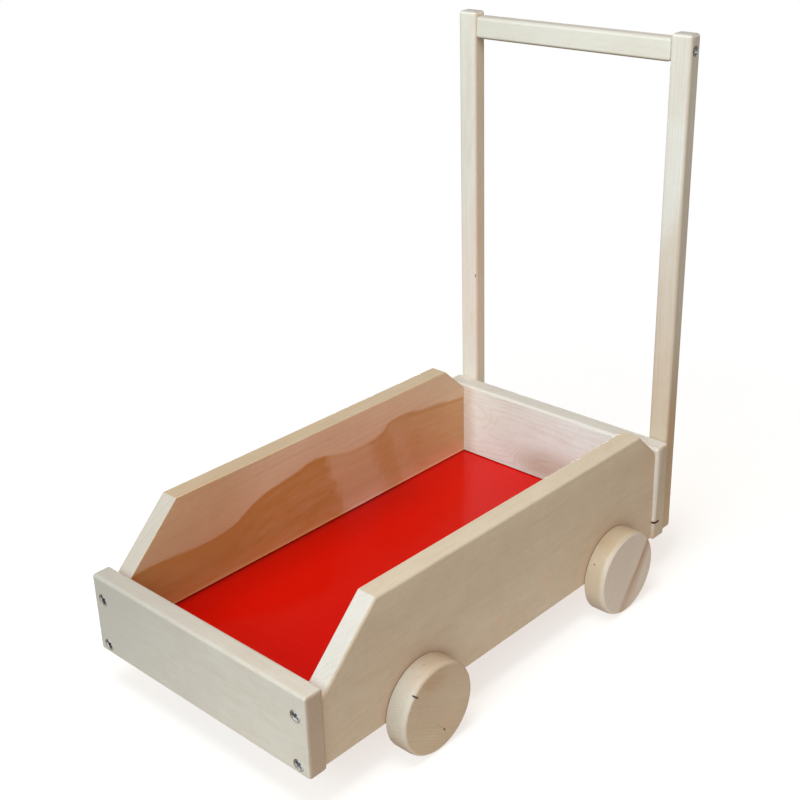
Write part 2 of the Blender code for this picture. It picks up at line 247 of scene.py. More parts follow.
def show(node, shape, material, body="cart", holes=(), place=Matrix()):
    """Make the piece that stands for a CAD node, from a working mesh or a finished one."""
    name = "fine_" + node
    mesh = to_mesh(name, shape) if isinstance(shape, bmesh.types.BMesh) else shape
    piece = put_in_scene(name, mesh)
    if holes:
        carve(piece, holes)
    piece.matrix_world = place
    mesh = piece.data
    mesh.name = name
    mesh.materials.clear()
    mesh.materials.append(material)
    mesh.shade_smooth()
    mesh.set_sharp_from_angle(angle=SHARP_ANGLE)
    normals = piece.modifiers.new("normals", "WEIGHTED_NORMAL")
    normals.keep_sharp = True
    normals.weight = 100
    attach(piece, body)
    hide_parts(node)


# Materials

class Surface:
    """One material, with short ways to add nodes to it.

    here is the place in the piece's own frame, in millimetres, and log the same for wood as it
    lay in its log.
    """

    def __init__(self, name):
        self.material = bpy.data.materials.new(name)
        self.material.use_nodes = True
        self.nodes = self.material.node_tree.nodes
        self.links = self.material.node_tree.links
        self.shader = self.nodes["Principled BSDF"]
        self.where = self.nodes.new("ShaderNodeTexCoord")
        self.here = self.log = self.millimetres()

    def feed(self, socket, value):
        """Link or set an input, for which a colour is given as red, green and blue."""
        if isinstance(value, bpy.types.NodeSocket):
            self.links.new(value, socket)
        else:
            socket.default_value = (*value, 1) if socket.type == "RGBA" else value

    def add(self, kind, inputs, output=0, **settings):
        node = self.nodes.new("ShaderNode" + kind)
        for key, value in settings.items():
            setattr(node, key, value)
        for key, value in inputs.items():
            self.feed(node.inputs[key], value)
        return node.outputs[output]

    def math(self, operation, *values):
        return self.add("Math", dict(enumerate(values)), operation=operation)

    def vector(self, operation, *values):
        output = 1 if operation in ("LENGTH", "DOT_PRODUCT") else 0
        return self.add("VectorMath", dict(enumerate(values)), output, operation=operation)

    def total(self, first, *others):
        for other in others:
            first = self.math("ADD", first, other)
        return first

    def minus(self, first, second):
        return self.math("SUBTRACT", first, second)

    def scaled(self, value, factor, added):
        return self.math("MULTIPLY_ADD", value, factor, added)

    def magnitude(self, value):
        return self.math("ABSOLUTE", value)

    def times(self, first, *others):
        for other in others:
            first = self.math("MULTIPLY", first, other)
        return first

    def clamp(self, value):
        return self.add("Clamp", {0: value})

    def swing(self, value, amount):
        """A noise from 0 to 1 made into one about zero, of the given height."""
        return self.scaled(value, amount, -amount / 2)

    def line(self, value, first, last, start=0.0, end=1.0, kind="LINEAR"):
        """Start where the value is first, end where it is last, and in between along a line."""
        return self.add(
            "MapRange", {0: value, 1: first, 2: last, 3: start, 4: end}, interpolation_type=kind)

    def ramp(self, *values):
        """As line, but with a smooth start and end."""
        return self.line(*values, kind="SMOOTHSTEP")

    def noise(self, cell, detail=2.0, roughness=0.55, place=None, output=0):
        """Noise with cells of the given size along each axis, of the log if no place is named."""
        scaled = self.vector("MULTIPLY", place or self.log, tuple(1 / reach for reach in cell))
        return self.add("TexNoise", {
            "Vector": scaled, "Scale": 1.0, "Detail": detail, "Roughness": roughness}, output)

    def mix(self, share, first, second, blend="MIX"):
        return self.add(
            "Mix", {0: share, 6: first, 7: second}, 2, data_type="RGBA", blend_type=blend)

    def tint(self, colour, *layers):
        """The colour multiplied by each layer's tone as far as its share goes."""
        for share, tone in layers:
            colour = self.mix(share, colour, tone, "MULTIPLY")
        return colour

    def curve(self, value, points):
        """A smooth line through (place, height) points, all from 0 to 1."""
        node = self.nodes.new("ShaderNodeFloatCurve")
        line = node.mapping.curves[0].points
        line[0].location = points[0]
        line[1].location = points[-1]
        for point in points[1:-1]:
            line.new(*point)
        node.mapping.update()
        self.feed(node.inputs["Value"], value)
        return node.outputs[0]

    def millimetres(self, turn=Matrix(), shift=(0, 0, 0)):
        """Place in the piece's own frame, in millimetres, turned and then shifted."""
        return self.add("Mapping", {
            "Vector": self.where.outputs["Object"],
            "Scale": (MM, MM, MM),
            "Rotation": turn.to_euler(),
            "Location": shift,
        })

    def spot(self, centre, reach):
        """One in the middle of a soft spot and nought outside it."""
        away = self.vector("DIVIDE", self.vector("SUBTRACT", self.here, centre), reach)
        return self.ramp(self.vector("LENGTH", away), 1.0, 0.2)

    def stroke(self, start, end, width):
        """One on a soft line between two places of a face across X and nought off it."""
        run = Vector(end) - Vector(start)
        away = self.vector("MULTIPLY", self.vector("SUBTRACT", self.here, start), (0.25, 1, 1))
        share = self.clamp(self.vector("DOT_PRODUCT", away, run / run.length_squared))
        nearest = self.vector("MULTIPLY", self.vector("ADD", (0, 0, 0), share), run)
        off = self.vector("LENGTH", self.vector("SUBTRACT", away, nearest))
        return self.ramp(off, width / 2, width / 8)

    def axes(self, vector):
        node = self.nodes.new("ShaderNodeSeparateXYZ")
        self.feed(node.inputs[0], vector)
        return node.outputs

    def place(self):
        """The parts of here along X, Y and Z."""
        return self.axes(self.here)

    def facing(self):
        """The parts along X, Y and Z of the direction that the surface faces, in that frame."""
        return self.axes(self.where.outputs["Normal"])

    def finish(self, colour, roughness, height, depth, strength, **constants):
        self.feed(self.shader.inputs["Base Color"], colour)
        self.feed(self.shader.inputs["Roughness"], roughness)
        bump = self.add("Bump", {"Height": height, "Distance": depth, "Strength": strength})
        self.feed(self.shader.inputs["Normal"], bump)
        for key, value in constants.items():
            self.feed(self.shader.inputs[key.replace("_", " ")], value)
        return self.material


# Turns that bring the direction of the grain to X
GRAIN_ALONG = {
    "X": Matrix(),
    "Y": rotation(-90, "Z"),
    "Z": rotation(90, "Y"),
}


def shade(colour, amount):
    return [amount * part for part in colour]


def wood(node, name, grain, tones, pith, tilt=(0, 0), turn=0.0, ring=2.6, seed=0.0, rings=0.25,
         streaks=0.22, mottle=0.3, bend=9.0, pores=0.2, faint=0.2, ends=None, end_rings=0.3,
         swells=(), extra=None):
    """Wood cut from a log: year rings round a pith line, and fibres along it.

    tones are pale and deep. pith is the node's middle from the pith line, in millimetres, and tilt
    the angles in degrees between them. turn swings the grain about X. ring is the width of a year
    ring and seed a place along the log. rings, streaks, mottle and pores say how strongly each
    shows, bend how far the grain wanders, and faint what is left of the rings where they fade.
    ends is the colour across the grain, and end_rings how dark the rings are there. Each of swells is a
    place, reach and height that the rings bulge by. extra adds the marks, painted light and painted shade
    of one board.
    """
    s = Surface(name)
    pale, deep = tones
    to_grain = GRAIN_ALONG[grain] @ rotation(turn, "X")
    frame_turn = rotation(tilt[0], "Y") @ rotation(tilt[1], "Z") @ to_grain
    shift = Vector((seed, *pith)) - frame_turn @ (MM * middle(node))
    plain = s.millimetres(frame_turn, shift)

    wander = s.noise((170, 40, 40), 1.0, place=plain, output=1)
    wander = s.vector("MULTIPLY", s.vector("SUBTRACT", wander, (0.5, 0.5, 0.5)), (0, bend, bend))
    s.log = s.vector("ADD", plain, wander)
    streak = s.noise((260, 7, 7), 4.0, 0.6)
    blotch = s.noise((60, 30, 30), 3.0)
    fibre = s.noise((14, 0.5, 0.5))
    ripple = s.noise((8, 34, 34), 1.0)
    dash = s.noise((3.2, 0.2, 0.2), 1.0)
    fleck = s.noise((22, 5, 5), 4.0, 0.65)
    grit = s.noise((3.5, 1.5, 1.5), 2.0, 0.6, plain)

    radius = s.vector("LENGTH", s.vector("MULTIPLY", s.log, (0, 1, 1)))
    for centre, reach, height in swells:
        radius = s.total(radius, s.times(s.spot(centre, reach), height))
    years = s.math("DIVIDE", s.total(radius, s.swing(streak, 3.0)), ring)
    part = s.math("FRACT", years)
    year = s.add("TexWhiteNoise", {"W": s.math("FLOOR", years)}, noise_dimensions="1D")
    late = s.minus(s.ramp(part, 0.35, 0.94), s.ramp(part, 0.94, 1.0))
    late = s.times(late, s.scaled(year, 0.75, 0.25))
    late = s.times(late, s.ramp(s.noise((110, 26, 26), place=plain), 0.36, 0.64, faint, 1.0))

    share = s.clamp(s.total(
        s.times(late, rings), 0.22, s.swing(streak, streaks), s.swing(blotch, 0.45),
        s.swing(fibre, 0.3), s.swing(fleck, mottle), s.swing(ripple, 0.1), s.swing(grit, 0.22)))
    colour = s.mix(share, pale, deep)
    pore = s.ramp(dash, 0.60, 0.74)
    colour = s.mix(s.times(pore, pores), colour, shade(deep, 0.55))

    # Cut across the grain the rings show as arcs, and the wood is finely stippled
    fibre_axis = to_grain.inverted() @ Vector((1, 0, 0))
    level = s.vector("DOT_PRODUCT", s.where.outputs["Normal"], fibre_axis)
    across = s.ramp(s.magnitude(level), 0.45, 0.85)
    speck = s.noise((2.0, 0.9, 0.9), 3.0, 0.7, plain)
    ends = ends or shade(pale, 1.06)
    dark = s.clamp(s.total(
        s.times(late, end_rings), s.swing(speck, 1.7), s.swing(blotch, 0.6), 0.25))
    cut = s.mix(dark, shade(ends, 1.1), shade(ends, 0.78))
    colour = s.mix(s.times(across, 0.8), colour, cut)
    if extra:
        colour = extra(s, colour)

    roughness = s.total(s.swing(fibre, 0.16), s.swing(blotch, 0.12), s.times(pore, 0.15), 0.5)
    height = s.total(
        s.times(fibre, 0.5), s.times(late, 0.25), s.times(speck, across, 0.8), s.times(pore, -0.6))
    return s.finish(colour, roughness, height, 0.00025, 0.35, Specular_IOR_Level=0.4)


# Angle in degrees between the two lots of scratches on the red floor
SCUFF_TURN = 51.5662


def lacquer_red():
    """Thin board with glossy red laminate on top; its edges and back show brown fibre."""
    s = Surface("red_laminate")
    cloud = s.noise((90, 90, 90))
    peel = s.noise((2.2, 2.2, 2.2))
    grain = s.noise((0.5, 0.5, 0.5), 1.0)
    scuff = s.noise((55, 0.8, 0.8))
    scuff_across = s.noise((70, 0.7, 0.7), place=s.millimetres(rotation(SCUFF_TURN, "Z")))
    scratches = s.math("MAXIMUM", s.ramp(scuff, 0.66, 0.74), s.ramp(scuff_across, 0.68, 0.76))
    tone = s.clamp(s.total(s.swing(cloud, 0.5), 0.5))
    colour = s.mix(tone, (0.67, 0.0018, 0.0001), (0.71, 0.0044, 0.0003))
    colour = s.mix(s.times(scratches, 0.10), colour, (0.75, 0.10, 0.07))
    x, y, _ = s.place()
    from_left = s.minus(x, MM * high("side_panel_left").x)
    # Painted shade on the floor along the left board, weaker towards the rear
    left_shade_fade = s.ramp(y, 90, 140, 1.0, 0.45)
    colour = s.tint(
        colour, (s.times(s.ramp(from_left, 60, 0), left_shade_fade), (0.74, 0.72, 0.72)),
        (s.times(s.ramp(from_left, 9, -1), left_shade_fade), (0.66, 0.66, 0.66)))
    edge = s.ramp(s.facing()[2], 0.6, 0.3)
    core = s.mix(grain, (0.30, 0.19, 0.11), (0.20, 0.12, 0.065))
    colour = s.mix(edge, colour, core)
    roughness = s.total(s.swing(cloud, 0.06), s.times(scratches, 0.12), s.times(edge, 0.6), 0.14)
    height = s.total(s.times(peel, 0.5), s.times(scratches, -0.4), s.times(grain, edge, 2))
    return s.finish(colour, roughness, height, 0.00006, 0.3, Specular_IOR_Level=0.16)


def zinc(name, shade_spots, recess):
    """Bright zinc plating on steel, with faint turning marks.

    Each spot in the second argument is painted shade on a screw's head: its place and reach in
    millimetres, its share and its tone. recess is the share and tone of the colour painted into the driver
    recess, painted shade where that tone is dark.
    """
    s = Surface(name)
    cloud = s.noise((2.5, 2.5, 2.5))
    fine = s.noise((0.22, 0.22, 0.22))
    x, y, z = s.place()
    radius = s.math("SQRT", s.total(s.times(x, x), s.times(y, y)))
    turning = s.math("SINE", s.times(radius, 38.0))
    colour = s.mix(cloud, (0.76, 0.77, 0.79), (0.92, 0.92, 0.91))
    on_head = s.ramp(z, -4.0, -3.0)
    # Spots of painted shade on the head
    for centre, reach, share, tone in shade_spots:
        spot_shade = s.times(s.spot(centre, reach), on_head, share)
        colour = s.mix(spot_shade, colour, 3 * (tone,))
    # Painted shade in the driver recess, below the head's face
    recess_shade_mask = s.times(s.ramp(z, -0.05, -0.3), s.ramp(radius, 4.4, 4.0), on_head)
    share, tone = recess
    colour = s.mix(s.times(recess_shade_mask, share), colour, 3 * (tone,))
    roughness = s.total(s.swing(cloud, 0.12), s.swing(fine, 0.14), s.times(recess_shade_mask, 0.3), 0.24)
    height = s.total(s.times(turning, 0.3), s.times(fine, 0.7))
    return s.finish(colour, roughness, height, 0.00004, 0.3, Metallic=1.0)


def heartwood_and_painted_light(s, colour):
    """Brown heart low on the inner face, with a wavy upper bound and a paler gap along it; painted light
    that brightens the inner face, more so low down and along its foot, and painted shade on it towards the
    front panel and on the top towards the front.
    """
    _, y, z = s.place()
    (_, start, foot), (_, end, top) = (MM * corner for corner in BOX["side_panel_left"])
    along = s.line(y, start, end)
    bound = s.curve(along, [
        (0.0, 0.56), (0.053, 0.57), (0.237, 0.543), (0.347, 0.682), (0.436, 0.739), (0.523, 0.779),
        (0.561, 0.742), (0.620, 0.704), (0.713, 0.729), (0.760, 0.80), (0.876, 0.76), (1.0, 0.70),
    ])
    lean = s.scaled(s.minus(z, 100), 0.0007, along)
    lean = s.total(lean, s.swing(s.noise((30, 9, 9), 3.0, place=s.here), 0.06))
    amount = s.curve(lean, [
        (0.0, 0.95), (0.30, 1.0), (0.54, 0.95), (0.58, 0.45), (0.66, 0.42), (0.70, 0.70),
        (0.735, 0.80), (0.77, 0.60), (0.82, 0.75), (0.87, 0.72), (1.0, 0.70),
    ])
    ragged = s.noise((60, 7, 7), 3.0)
    depth = s.minus(s.scaled(bound, top - foot, foot), z)
    depth = s.total(depth, s.swing(ragged, 9.0))
    inside = s.ramp(depth, -2.5, 4.0)
    rim = s.times(s.ramp(depth, -1.0, 1.5), s.ramp(depth, 6.5, 1.5))
    bands = s.noise((6, 5, 5), 3.0, place=s.add("CombineXYZ", {0: s.times(y, 0.12), 1: depth}))
    mottle = s.noise((26, 14, 14))
    share = s.scaled(bands, 0.5, s.scaled(mottle, 0.4, 0.5))
    share = s.total(s.times(inside, amount, share), s.times(rim, amount, 0.45))
    facing = s.facing()
    # Painted light on the inner face, and painted shade on it towards the front panel
    inner = s.ramp(facing[0], 0.5, 0.8)
    front_shade = s.times(inner, s.ramp(y, -50, -125))
    colour = s.tint(colour, (inner, (1.22, 1.41, 1.38)), (front_shade, (0.86, 0.77, 0.68)))
    # The heart's colour darker towards the front panel, as painted shade
    heart = s.mix(front_shade, (0.60, 0.335, 0.095), (0.555, 0.305, 0.088))
    colour = s.mix(s.times(share, inner), colour, heart)
    # Painted light, bluish, low on the inner face and strongest in a line along its foot
    low_painted_light = s.times(inner, s.ramp(z, 80, 62))
    foot_painted_light = s.times(inner, s.ramp(z, 63.5, 58.5))
    # Painted shade on the top face towards the front
    upper = s.times(s.ramp(facing[2], 0.8, 0.95), s.ramp(y, 60, -60))
    return s.tint(
        colour, (low_painted_light, (1.24, 1.15, 1.34)), (foot_painted_light, (1.45, 1.5, 1.7)), (upper, (0.95, 0.93, 0.90)))


def painted_shade_to_left(s, colour):
    """Board darkened to grey towards its left end by painted shade, and with painted shade on its top."""
    # Painted shade towards the left end, darkening it to grey
    share = s.ramp(s.place()[0], MM * high("front_panel").x, MM * low("front_panel").x)
    cloud = s.noise((45, 20, 20))
    colour = s.mix(s.times(cloud, 0.12), colour, (0.80, 0.70, 0.58))
    # Painted shade on the top
    colour = s.tint(colour, (s.ramp(s.facing()[2], 0.5, 0.9), (0.93, 0.92, 0.90)))
    return s.mix(s.times(share, 0.5), colour, (0.44, 0.40, 0.345))


def red_traces_and_painted_light(s, colour):
    """Reddish traces low on the board, reddish painted shade round the wheels and just outside their rims,
    painted light on a paler upper edge, and darker towards the rear end.
    """
    face = MM * high("side_panel_right").x
    tone = (0.78, 0.50, 0.36)
    for place in ((-19, 63), (42, 73)):
        mask = s.spot((face, *place), (30, 9, 5))
        colour = s.mix(s.times(mask, 0.6), colour, tone)
    # Reddish painted shade round each wheel, and painted shade just outside its rim
    for end in ENDS:
        centre = MM * middle(f"wheel_{end}_right")
        mask = s.spot((face, centre.y, centre.z), (30, 58, 58))
        colour = s.mix(s.times(mask, 0.9), colour, tone)
        from_axle = s.vector("MULTIPLY", s.vector("SUBTRACT", s.here, centre), (0, 1, 1))
        rim_shade = s.ramp(s.vector("LENGTH", from_axle), 47, 40)
        colour = s.tint(colour, (rim_shade, (0.92, 0.90, 0.90)))
    _, y, z = s.place()
    top = MM * high("side_panel_right").z
    # Painted light on the upper edge of the outer face
    outer = s.ramp(s.facing()[0], 0.3, 0.7)
    upper = s.times(outer, s.ramp(z, top - 24, top - 3))
    return s.tint(colour, (upper, (1.06, 1.08, 1.09)), (s.ramp(y, 170, 215), (0.96, 0.90, 0.88)))


def painted_light_inside(s, colour):
    """Board with painted light that makes its inner face paler and cooler than the rest, round a darker
    eye; painted shade at the left corner, low down, in the end slots, on the rounded upright corners and
    on the top; and a painted highlight along the front of the right end.
    """
    x, y, z = s.place()
    facing = s.facing()
    reach, floor = MM * low("side_panel_right").x, MM * high("floor_panel").z
    face, floor_end = MM * low("rear_panel").y, MM * high("floor_panel").y
    inside = s.times(
        s.ramp(facing[1], -0.85, -0.97), s.ramp(s.magnitude(x), reach, reach - 1),
        s.ramp(z, floor, floor + 1))
    eye = s.times(s.spot((-12, face, 70), (34, 40, 15)), 0.5)
    # Painted light over the inner face, stronger to the left and up high; painted shade at the left
    # corner, low down and in a broad patch low in the middle; the eye is the wood's own
    for share, tone in (
        (1.0, (0.955, 1.075, 1.10)),
        (s.ramp(x, -45, -105), (1.14, 1.135, 1.13)),
        (s.ramp(x, -88, -102), (0.85, 0.76, 0.71)),
        (s.times(s.ramp(x, -60, 60), s.ramp(z, 65, 115)), (1.08, 1.13, 1.18)),
        (s.ramp(z, 80, 118), (1.05, 1.065, 1.05)),
        (s.ramp(z, 76, 60), (0.94, 0.965, 0.95)),
        (eye, (0.87, 0.80, 0.75)),
        (s.spot((12, face, 74), (75, 40, 27)), (0.79, 0.725, 0.66)),
    ):
        colour = s.tint(colour, (s.times(inside, share), tone))
    # Painted shade in the slot at each end, beside the floor board
    notch = s.times(s.ramp(y, face + 0.4, face + 1.5), s.ramp(y, floor_end + 2, floor_end + 1))
    beside = s.magnitude(s.minus(z, MM * middle("floor_panel").z))
    notch = s.times(notch, s.ramp(beside, 4, 3), s.ramp(s.magnitude(facing[0]), 0.9, 0.5))
    colour = s.mix(notch, colour, (0.30, 0.16, 0.09))
    # Painted shade on the top, and warm painted shade on the rounded upright corners, darker low down
    corner = s.times(s.ramp(facing[0], 0.05, 0.4), s.ramp(facing[0], 0.97, 0.85))
    colour = s.tint(
        colour, (s.ramp(facing[2], 0.6, 0.95), (0.94, 0.925, 0.925)), (corner, (1.06, 0.97, 0.93)),
        (s.times(corner, s.ramp(z, 62, 54)), (0.95, 0.85, 0.80)))
    # Painted highlight on the right end along its front edge, wider higher up
    width = s.line(z, 45, 135, 1.0, 6.5)
    width = s.total(width, s.swing(s.noise((4, 4, 30), place=s.here), 3.0))
    edge = s.math("DIVIDE", s.minus(y, face), width)
    light = s.times(s.ramp(facing[0], 0.5, 0.9), s.ramp(edge, 1.3, 0.5))
    return s.mix(s.times(light, 0.6), colour, (0.90, 0.81, 0.75))


def painted_shade_top_and_under(s, colour):
    """Bar with painted shade on top and below, and a little darker towards its left end."""
    upright = s.facing()[2]
    return s.tint(
        colour, (s.ramp(upright, 0.15, 0.8), (0.81, 0.76, 0.77)),
        (s.ramp(upright, -0.15, -0.8), (0.52, 0.55, 0.46)),
        (s.ramp(s.place()[0], 60, -100), (0.955, 0.955, 0.95)))


def browner_right_edges(s, colour):
    """Post browner along its rounded right edges."""
    level = s.facing()[0]
    edge = s.times(s.ramp(level, 0.1, 0.5), s.ramp(level, 0.99, 0.85))
    return s.tint(colour, (edge, (0.97, 0.90, 0.865)))


def painted_light_foot(s, colour):
    """Post with painted light that makes it a little lighter towards its foot, painted shade that makes
    its sides warmer, and a small dark knot.
    """
    colour = browner_right_edges(s, colour)
    height = s.place()[2]
    side = s.ramp(s.magnitude(s.facing()[0]), 0.5, 0.9)
    warm = s.times(side, s.ramp(height, 220, 300))
    # Painted light towards the foot, and warm painted shade on the sides
    colour = s.tint(
        colour, (s.ramp(height, 400, 200), (1.12, 1.06, 1.03)), (warm, (1.0, 0.955, 0.89)),
        (side, (0.985, 0.965, 0.93)))
    post = "handle_post_left"
    knot = s.spot((MM * high(post).x - 1.2, MM * low(post).y, 247), (1.1, 3.0, 2.8))
    return s.mix(s.times(knot, 0.75), colour, (0.10, 0.07, 0.05))


def peach_foot_and_painted_light(s, colour):
    """Post with painted light on its front below the top, that turns peach below a slanting bound, and
    with painted shade that browns its sides towards its foot.
    """
    colour = browner_right_edges(s, colour)
    x, _, height = s.place()
    side = s.ramp(s.magnitude(s.facing()[0]), 0.6, 0.95)
    front = s.minus(1.0, side)
    aside = s.minus(x, MM * middle("handle_post_right").x)
    bound = s.ramp(s.scaled(aside, -1.7, height), 364, 312, 0.0, 0.58)
    below = s.total(bound, s.ramp(height, 312, 142, 0.0, 0.42))
    # Painted light on the front below its top, peach below the bound, and painted shade browning the sides
    # towards the foot
    return s.tint(
        colour, (s.times(front, s.ramp(height, 455, 415)), (1.05, 1.07, 1.10)),
        (s.times(front, below), (0.829, 0.715, 0.60)),
        (s.times(side, s.ramp(height, 470, 130, 0.0, 0.6)), (0.87, 0.765, 0.66)),
        (s.times(side, s.ramp(height, 250, 130)), (0.83, 0.68, 0.545)))


def painted_rim_light(s, colour, share=0.25):
    """Wheel with a painted highlight on its rounded edges, and painted shade on the side of the tread that
    is lowest at rest.
    """
    facing = s.facing()
    level = s.magnitude(facing[0])
    rim = s.times(s.ramp(level, 0.05, 0.5), s.ramp(level, 0.985, 0.8))
    # Painted highlight on the rounded edges
    colour = s.mix(s.times(rim, share), colour, (0.82, 0.71, 0.58))
    # Painted shade on the side of the tread lowest at rest
    tread_shade = s.times(s.ramp(facing[2], -0.1, -0.8), s.ramp(level, 0.7, 0.3))
    return s.tint(colour, (tread_shade, (0.70, 0.71, 0.77)))


def dark_marks(s, colour, marks):
    """Dark strokes, given by their ends as places in millimetres, width and share."""
    for start, end, width, share in marks:
        mask = s.stroke(start, end, width)
        colour = s.mix(s.times(mask, share), colour, (0.05, 0.03, 0.02))
    return colour


def worn_wheel_and_painted_light(s, colour):
    """Right front wheel, with a brown patch, a dark spot and a short check at its rim that painted shade
    darkens, painted light on its outer face, and a painted highlight and painted shade at its rim.
    """
    colour = painted_rim_light(s, colour)
    # Painted light on the outer face
    colour = s.tint(colour, (s.ramp(s.facing()[0], 0.8, 0.98), (1.06, 1.085, 1.07)))
    _, axle_y, axle_z = MM * middle("wheel_front_right")

    def at(y, z):
        return Vector((MM * high("wheel_front_right").x, axle_y + y, axle_z + z))

    patch = s.spot(at(-6, 30), (30, 26, 16))
    patch = s.times(patch, s.ramp(s.noise((40, 5, 5), 3.0), 0.1, 0.8, 0.25, 1.0))
    colour = s.mix(patch, colour, (0.57, 0.37, 0.215))
    blush = s.spot(at(9, -16), (30, 14, 10))
    colour = s.mix(s.times(blush, 0.5), colour, (0.66, 0.44, 0.31))
    rim_dot = s.spot((134, axle_y - 4.5, axle_z + 39.7), (1.2, 1.2, 1.2))
    colour = s.mix(s.times(rim_dot, 0.5), colour, (0.20, 0.13, 0.08))
    return dark_marks(s, colour, (
        (at(6.3, -23.2), at(5.0, -21.6), 2.2, 0.9),
        (at(5.0, -21.6), at(-4.2, -11.4), 1.3, 0.2),
        # The check, darkened along its length by painted shade
        (at(-27.3, 27.5), at(-24.4, 25.0), 2.6, 0.85)))


def streaked_wheel_and_painted_light(s, colour):
    """Right rear wheel, grey-pink with a brown streak across it, a painted highlight on its rounded edges,
    painted light on its tread, and painted shade low on the tread and warm on its top at rest.
    """
    colour = painted_rim_light(s, colour, 0.4)
    centre = MM * middle("wheel_rear_right")
    facing = s.facing()
    tread, crown = s.ramp(facing[0], 0.7, 0.2), s.ramp(facing[2], 0.55, 0.95)
    # Painted light on the tread, and warm painted shade on its top at rest
    colour = s.tint(colour, (tread, (1.09, 1.11, 1.12)), (crown, (0.90, 0.84, 0.76)))
    away = s.vector("SUBTRACT", s.here, centre + Vector((0, 21.6, 11.4)))
    off = s.vector("DOT_PRODUCT", away, (0, 0.840, -0.542))
    down = s.vector("DOT_PRODUCT", away, (0, -0.542, -0.840))
    off = s.total(off, s.swing(s.noise((30, 3, 3), 3.0), 4.0))
    outer = s.ramp(facing[0], 0.5, 0.9)
    vein = s.noise((60, 1.6, 1.6), 3.0)
    grey = s.times(outer, s.scaled(vein, 0.55, 0.40))
    colour = s.mix(grey, colour, (0.80, 0.69, 0.60))
    onset = s.ramp(off, s.ramp(down, 5, 40, -1.5, -7.0), 1.5)
    spread = s.ramp(down, -5, 45, 11.0, 15.0)
    fade = s.clamp(s.minus(1.0, s.math("DIVIDE", off, spread)))
    brown = s.times(onset, fade, outer, s.ramp(down, 10, 50, 1.0, 0.55))
    colour = s.mix(brown, colour, (0.47, 0.265, 0.145))
    rim_dot = s.spot((131.7, centre.y - 34.3, centre.z + 20.7), (1.3, 1.3, 1.3))
    return s.mix(s.times(rim_dot, 0.85), colour, (0.10, 0.06, 0.04))


# Screws

class Screw:
    """One kind of countersunk wood screw with a cross recess."""

    # Root and neck as shares of the shank's radius, and the flat middle of the head's radius
    ROOT, NECK, FLAT = 0.66, 0.9, 0.93
    # Pitch and tip as shares of the diameter, and the part without thread of the length
    PITCH, TIP, PLAIN = 0.5, 1.6, 0.36
    # The ridge's share of a turn, how late it fades at the tip, and how the recess narrows
    RIDGE, FADE, TAPER = 0.55, 1.3, (0.6, 0.75, 1)

    def __init__(self, name, diameter, head, length, recess):
        self.diameter, self.head, self.length = diameter, head, length
        blank = put_in_scene(name, to_mesh(name, lathe(self.profile(), THREAD_STEPS)))
        carve(blank, [cutter(arm) for arm in self.recess_arms(recess)])
        self.mesh = blank.data
        bpy.data.objects.remove(blank, do_unlink=True)

    def profile(self):
        """Outline from the middle of the head down to the tip, threaded over two thirds."""
        shank, rim = self.diameter / 2, self.head / 2
        root, neck = self.ROOT * shank, self.NECK * shank
        pitch = self.PITCH * self.diameter
        thread_top = -self.PLAIN * self.length
        tip_start = -self.length + self.TIP * self.diameter
        points = [
            (0, 0), (self.FLAT * rim, 0), (rim - HEAD_EASE, -HEAD_EASE / 2), (rim, -2 * HEAD_EASE),
            (rim, -HEAD_RIM), (neck, -HEAD_RIM - (rim - shank)), (neck, thread_top),
        ]

        def crest(height):
            narrow = max(0.0, min(1.0, (height + self.length) / (tip_start + self.length)))

            def radius(angle):
                turn = (height / pitch - angle / math.tau) % 1.0
                ridge = max(0.0, 1.0 - abs(2.0 * turn - 1.0) / self.RIDGE)
                return root * narrow + (shank - root) * ridge * min(1.0, self.FADE * narrow)
            return radius

        rows = int((thread_top + self.length) / pitch * THREAD_ROWS)
        for row in range(1, rows):
            height = thread_top - row * pitch / THREAD_ROWS
            points.append((crest(height), height))
        points.append((0, -self.length))
        return points

    def recess_arms(self, recess):
        """Two crossed slots that narrow towards the bottom, as a driver's point does."""
        arms = []
        for turn in (0, 90):
            bm = box((-recess / 2, -recess / 6, -RECESS_DEPTH), (recess / 2, recess / 6, RECESS_DEPTH))
            for vert in bm.verts:
                if vert.co.z < 0:
                    vert.co *= Vector(self.TAPER)
            bmesh.ops.rotate(bm, verts=bm.verts, matrix=rotation(turn, "Z").to_3x3())
            arms.append(bm)
        return arms

    def hole(self, place):
        """Cutter for the countersunk hole round the screw."""
        shank = self.diameter / 2 + FIT_GAP
        rim = self.head / 2 + COUNTERSINK_CLEARANCE
        end = -self.length - FIT_GAP
        return cutter(lathe([
            (0, CUT_PAST), (rim, CUT_PAST), (rim, -HEAD_RIM), (shank, -HEAD_RIM - (rim - shank)),
            (shank, end + 2 * shank), (0, end),
        ], ROUND_STEPS, place))

    def drive(self, node, facing, roll, steel):
        """Show a screw where its node is, and return the cutter for its hole."""
        outward = FACING[facing] @ Vector((0, 0, 1))
        seat = middle(node)
        for axis in range(3):
            if abs(outward[axis]) > 0.5:
                seat[axis] = (high if outward[axis] > 0 else low)(node)[axis]
        place = placed(seat, facing)
        show(node, self.mesh.copy(), steel, place=place @ rotation(roll, "Z"))
        return self.hole(place)


# Shapes of the pieces

def inset(outline, depths):
    """A convex outline with each side, from its corner to the next, moved in by its own depth."""
    lines = []
    for start, end, depth in zip(outline, onward(outline), depths):
        run = (Vector(end) - Vector(start)).normalized()
        lines.append((Vector(start) + depth * run.orthogonal(), run))
    corners = []
    for (place, run), (next_place, next_run) in zip(onward(lines, -1), lines):
        share = (next_place - place).cross(next_run) / run.cross(next_run)
        corners.append(place + share * run)
    return corners


